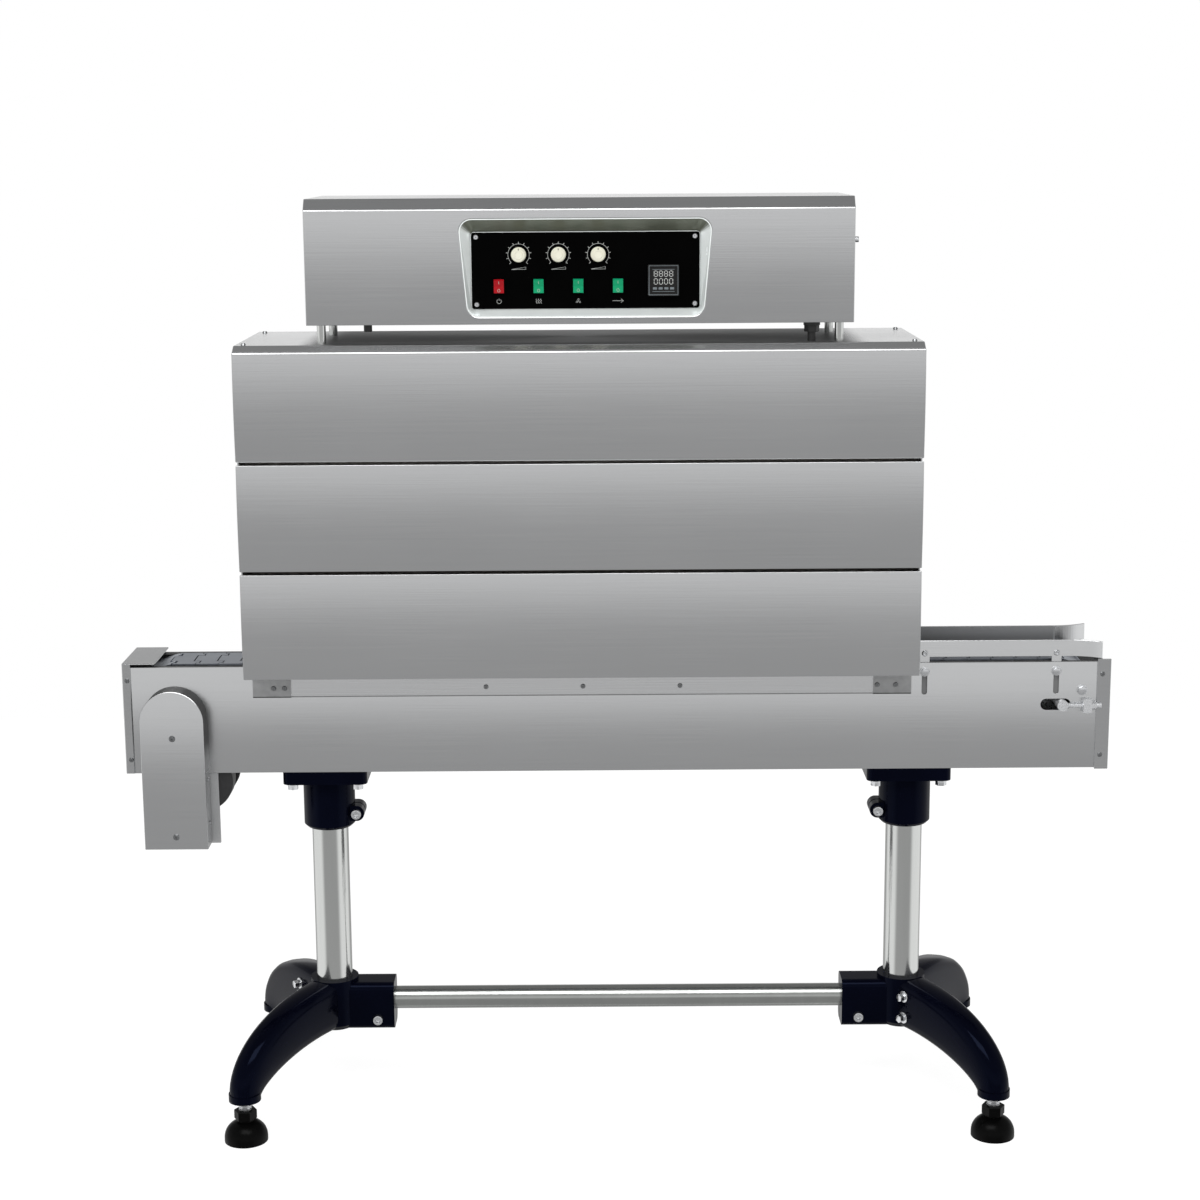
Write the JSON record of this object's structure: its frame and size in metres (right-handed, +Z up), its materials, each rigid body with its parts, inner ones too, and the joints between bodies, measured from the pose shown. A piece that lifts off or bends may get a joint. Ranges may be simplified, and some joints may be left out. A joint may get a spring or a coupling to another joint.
{
  "type": "heat shrink tunnel",
  "caption": "Heat shrink tunnel: a brushed-steel hot-air tunnel over a slat chain conveyor, with a control box on standoffs and a two-post stand on splayed cast bases.",
  "frame": {"origin": "on the floor under the middle of the conveyor, at the bottom centre of the bounding box", "axes": "+X along the conveyor to its infeed end, +Y to the rear, +Z up"},
  "size_m": [1.604, 0.4698, 1.503],
  "materials": {
    "brushed_steel": "brushed along the length",
    "slat_steel": "satin, worn bright",
    "polished_steel": "polished",
    "liner_steel": "satin, heat tinted",
    "zinc": "bright zinc plate",
    "gear_grey": "cast, satin",
    "motor_grey": "satin paint",
    "cast_black": "gloss black enamel",
    "foot_black": "moulded nylon",
    "track_black": "slide strip",
    "panel_black": "semi-gloss",
    "meter_black": "moulded, satin",
    "gland_black": "moulded nylon",
    "ivory": "moulded, satin gloss",
    "signal_red": "translucent moulding",
    "signal_green": "translucent moulding"
  },
  "bodies": {
    "machine": {"front_side_plate": "brushed_steel", "rear_side_plate": "brushed_steel", "left_end_cover": "brushed_steel", "right_end_cover": "brushed_steel", "slat_chain": "slat_steel", "chain_tracks": "track_black", "cross_ties": "zinc", "head_shaft": "zinc", "tail_shaft": "zinc", "front_guide_rail": "polished_steel", "rear_guide_rail": "polished_steel", "take_up_screws": "zinc", "drive_cover": "brushed_steel", "gearbox": "gear_grey", "motor": "motor_grey", "upper_hood": "brushed_steel", "middle_front_panel": "brushed_steel", "lower_front_panel": "brushed_steel", "middle_rear_panel": "brushed_steel", "lower_rear_panel": "brushed_steel", "left_end_frame": "brushed_steel", "right_end_frame": "brushed_steel", "chamber_walls": "liner_steel", "chamber_ceiling": "liner_steel", "mount_rails": "brushed_steel", "control_box": "brushed_steel", "box_back_cover": "brushed_steel", "panel_tray": "polished_steel", "panel_plate": "panel_black", "switch_frames": "panel_black", "temperature_controller": "meter_black", "box_standoffs": "polished_steel", "cable_glands": "gland_black", "left_base": "cast_black", "right_base": "cast_black", "left_post": "polished_steel", "right_post": "polished_steel", "cross_tube": "polished_steel", "left_top_socket": "cast_black", "right_top_socket": "cast_black", "foot_studs": "zinc", "foot_pads": "foot_black"},
    "left_knob_body": {"left_knob": "ivory"},
    "middle_knob_body": {"middle_knob": "ivory"},
    "right_knob_body": {"right_knob": "ivory"},
    "red_rocker_body": {"red_rocker": "signal_red"},
    "left_green_rocker_body": {"left_green_rocker": "signal_green"},
    "middle_green_rocker_body": {"middle_green_rocker": "signal_green"},
    "right_green_rocker_body": {"right_green_rocker": "signal_green"}
  },
  "joints": [
    {"name": "left_knob_turn", "type": "hinge", "parent": "machine", "child": "left_knob_body", "pos_m": [-0.148, -0.117, 1.4165], "axis": [0, -1, 0], "range_deg": [-150, 150]},
    {"name": "middle_knob_turn", "type": "hinge", "parent": "machine", "child": "middle_knob_body", "pos_m": [-0.0867, -0.117, 1.4165], "axis": [0, -1, 0], "range_deg": [-150, 150]},
    {"name": "right_knob_turn", "type": "hinge", "parent": "machine", "child": "right_knob_body", "pos_m": [-0.0254, -0.117, 1.4165], "axis": [0, -1, 0], "range_deg": [-150, 150]},
    {"name": "red_rocker_tilt", "type": "hinge", "parent": "machine", "child": "red_rocker_body", "pos_m": [-0.179, -0.117, 1.3685], "axis": [1, 0, 0], "range_deg": [-16, 0]},
    {"name": "left_green_rocker_tilt", "type": "hinge", "parent": "machine", "child": "left_green_rocker_body", "pos_m": [-0.1177, -0.117, 1.3685], "axis": [1, 0, 0], "range_deg": [-16, 0]},
    {"name": "middle_green_rocker_tilt", "type": "hinge", "parent": "machine", "child": "middle_green_rocker_body", "pos_m": [-0.0564, -0.117, 1.3685], "axis": [1, 0, 0], "range_deg": [-16, 0]},
    {"name": "right_green_rocker_tilt", "type": "hinge", "parent": "machine", "child": "right_green_rocker_body", "pos_m": [0.0049, -0.117, 1.3685], "axis": [1, 0, 0], "range_deg": [-16, 0]}
  ]
}
